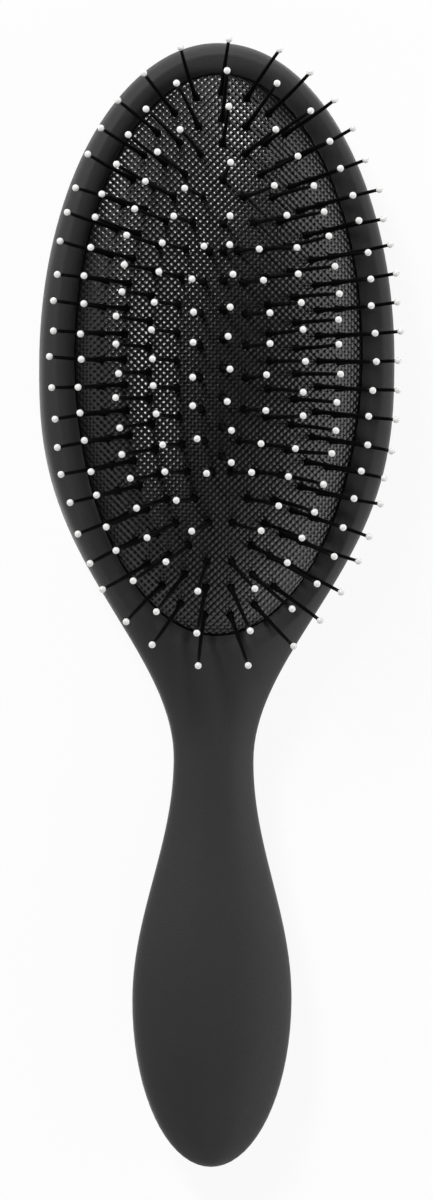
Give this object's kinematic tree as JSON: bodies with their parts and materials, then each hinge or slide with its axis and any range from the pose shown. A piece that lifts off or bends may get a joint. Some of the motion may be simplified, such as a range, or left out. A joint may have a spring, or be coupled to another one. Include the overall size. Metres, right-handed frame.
{
  "type": "detangling brush",
  "caption": "Oval paddle hairbrush with a domed rubber cushion, long flexible ball-tipped pins and a broad smooth handle, for detangling hair.",
  "frame": {"origin": "on the flat of the back, under the middle of the cushion, with the brush lying on its back", "axes": "+Z out of the cushion, +Y to the top of the head, the grip runs along -Y"},
  "size_m": [0.0723, 0.2292, 0.0421],
  "materials": {
    "soft_touch_body": "matte charcoal soft-touch coating",
    "cushion_rubber": "black rubber with a fine woven-look relief",
    "pin_nylon": "black nylon",
    "ball_tip": "glossy white"
  },
  "bodies": {
    "handle": {"handle_body": "soft_touch_body"},
    "pad": {"cushion": "cushion_rubber"},
    "column_01": {"pins_column_01": "pin_nylon", "ball_tips_column_01": "ball_tip"},
    "column_02": {"pins_column_02": "pin_nylon", "ball_tips_column_02": "ball_tip"},
    "column_03": {"pins_column_03": "pin_nylon", "ball_tips_column_03": "ball_tip"},
    "column_04": {"pins_column_04": "pin_nylon", "ball_tips_column_04": "ball_tip"},
    "column_05": {"pins_column_05": "pin_nylon", "ball_tips_column_05": "ball_tip"},
    "column_06": {"pins_column_06": "pin_nylon", "ball_tips_column_06": "ball_tip"},
    "column_07": {"pins_column_07": "pin_nylon", "ball_tips_column_07": "ball_tip"},
    "column_08": {"pins_column_08": "pin_nylon", "ball_tips_column_08": "ball_tip"},
    "column_09": {"pins_column_09": "pin_nylon", "ball_tips_column_09": "ball_tip"},
    "column_10": {"pins_column_10": "pin_nylon", "ball_tips_column_10": "ball_tip"},
    "column_11": {"pins_column_11": "pin_nylon", "ball_tips_column_11": "ball_tip"}
  },
  "joints": [
    {"name": "cushion_press", "type": "slide", "parent": "handle", "child": "pad", "axis": [0, 0, 1], "range_m": [-0.004, 0], "stiffness_N_per_m": 3000, "deforming": ["cushion"]},
    {"name": "column_01_flex", "type": "hinge", "parent": "pad", "child": "column_01", "pos_m": [-0.02343, 0, 0.01597], "axis": [0, 1, 0], "range_deg": [-10, 10], "stiffness_Nm_per_rad": 0.01},
    {"name": "column_02_flex", "type": "hinge", "parent": "pad", "child": "column_02", "pos_m": [-0.01928, 0, 0.01727], "axis": [0, 1, 0], "range_deg": [-10, 10], "stiffness_Nm_per_rad": 0.01},
    {"name": "column_03_flex", "type": "hinge", "parent": "pad", "child": "column_03", "pos_m": [-0.01444, 0, 0.01837], "axis": [0, 1, 0], "range_deg": [-10, 10], "stiffness_Nm_per_rad": 0.01},
    {"name": "column_04_flex", "type": "hinge", "parent": "pad", "child": "column_04", "pos_m": [-0.0094, 0, 0.01901], "axis": [0, 1, 0], "range_deg": [-10, 10], "stiffness_Nm_per_rad": 0.01},
    {"name": "column_05_flex", "type": "hinge", "parent": "pad", "child": "column_05", "pos_m": [-0.00446, 0, 0.01936], "axis": [0, 1, 0], "range_deg": [-10, 10], "stiffness_Nm_per_rad": 0.01},
    {"name": "column_06_flex", "type": "hinge", "parent": "pad", "child": "column_06", "pos_m": [0, 0, 0.02065], "axis": [0, 1, 0], "range_deg": [-10, 10], "stiffness_Nm_per_rad": 0.01},
    {"name": "column_07_flex", "type": "hinge", "parent": "pad", "child": "column_07", "pos_m": [0.00446, 0, 0.01936], "axis": [0, 1, 0], "range_deg": [-10, 10], "stiffness_Nm_per_rad": 0.01},
    {"name": "column_08_flex", "type": "hinge", "parent": "pad", "child": "column_08", "pos_m": [0.0094, 0, 0.01901], "axis": [0, 1, 0], "range_deg": [-10, 10], "stiffness_Nm_per_rad": 0.01},
    {"name": "column_09_flex", "type": "hinge", "parent": "pad", "child": "column_09", "pos_m": [0.01444, 0, 0.01837], "axis": [0, 1, 0], "range_deg": [-10, 10], "stiffness_Nm_per_rad": 0.01},
    {"name": "column_10_flex", "type": "hinge", "parent": "pad", "child": "column_10", "pos_m": [0.01928, 0, 0.01727], "axis": [0, 1, 0], "range_deg": [-10, 10], "stiffness_Nm_per_rad": 0.01},
    {"name": "column_11_flex", "type": "hinge", "parent": "pad", "child": "column_11", "pos_m": [0.02343, 0, 0.01597], "axis": [0, 1, 0], "range_deg": [-10, 10], "stiffness_Nm_per_rad": 0.01}
  ]
}
